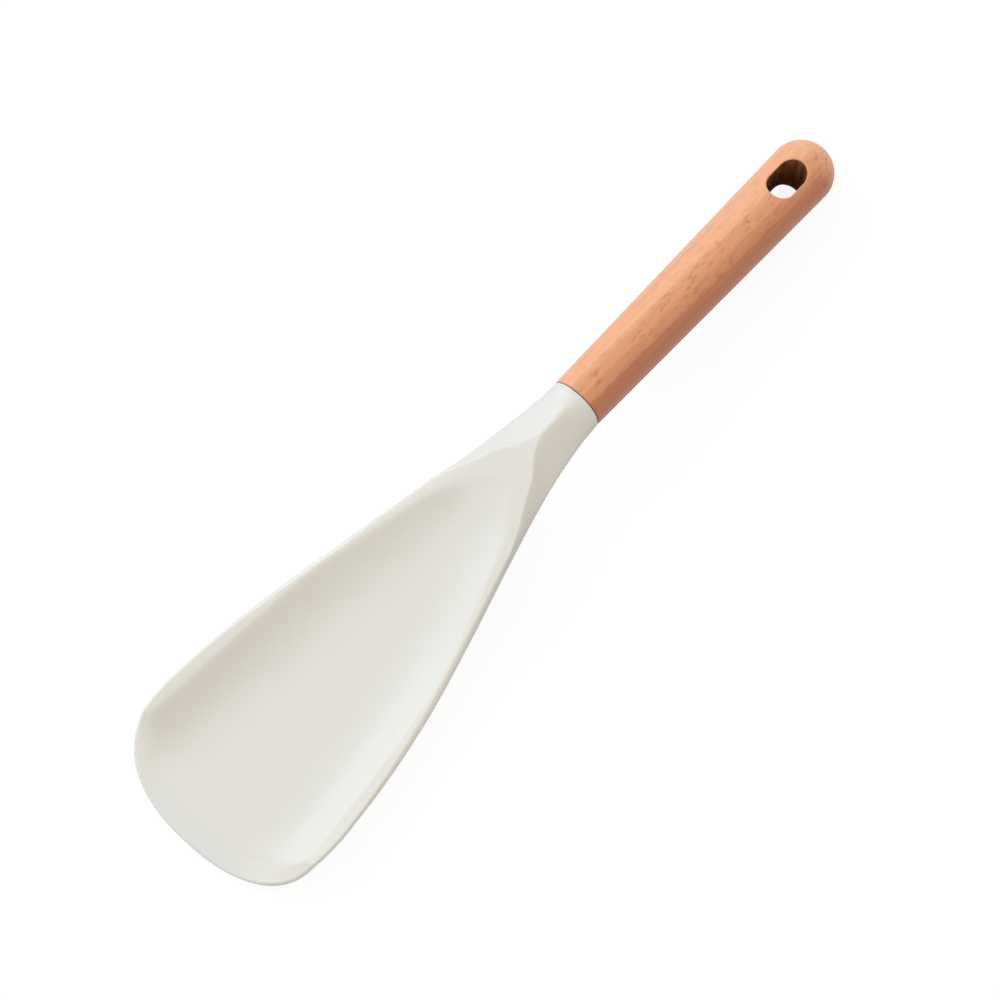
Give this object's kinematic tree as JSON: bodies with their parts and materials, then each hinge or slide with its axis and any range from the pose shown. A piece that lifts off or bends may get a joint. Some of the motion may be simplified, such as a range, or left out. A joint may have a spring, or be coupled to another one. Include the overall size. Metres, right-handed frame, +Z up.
{
  "type": "spoon spatula",
  "caption": "Kitchen spoon spatula: a scoop-shaped silicone head with a flat rim and a thin front lip, on a round beech handle with a hanging hole.",
  "frame": {"origin": "on the table under the middle of the tool's length and width, with the tool lying on its sole and on the end of its handle", "axes": "+X along the tool towards the handle end, +Y across it, +Z up out of the bowl"},
  "size_m": [0.3102, 0.077, 0.0324],
  "materials": {
    "silicone": "matte moulded silicone, ivory",
    "nylon": "natural moulded nylon",
    "beech": "turned and oiled beech with short dark flecks",
    "adhesive": "cured clear amber adhesive"
  },
  "bodies": {
    "root": {"silicone_head": "silicone", "nylon_core": "nylon", "beech_handle": "beech", "tang_adhesive": "adhesive"}
  },
  "joints": []
}
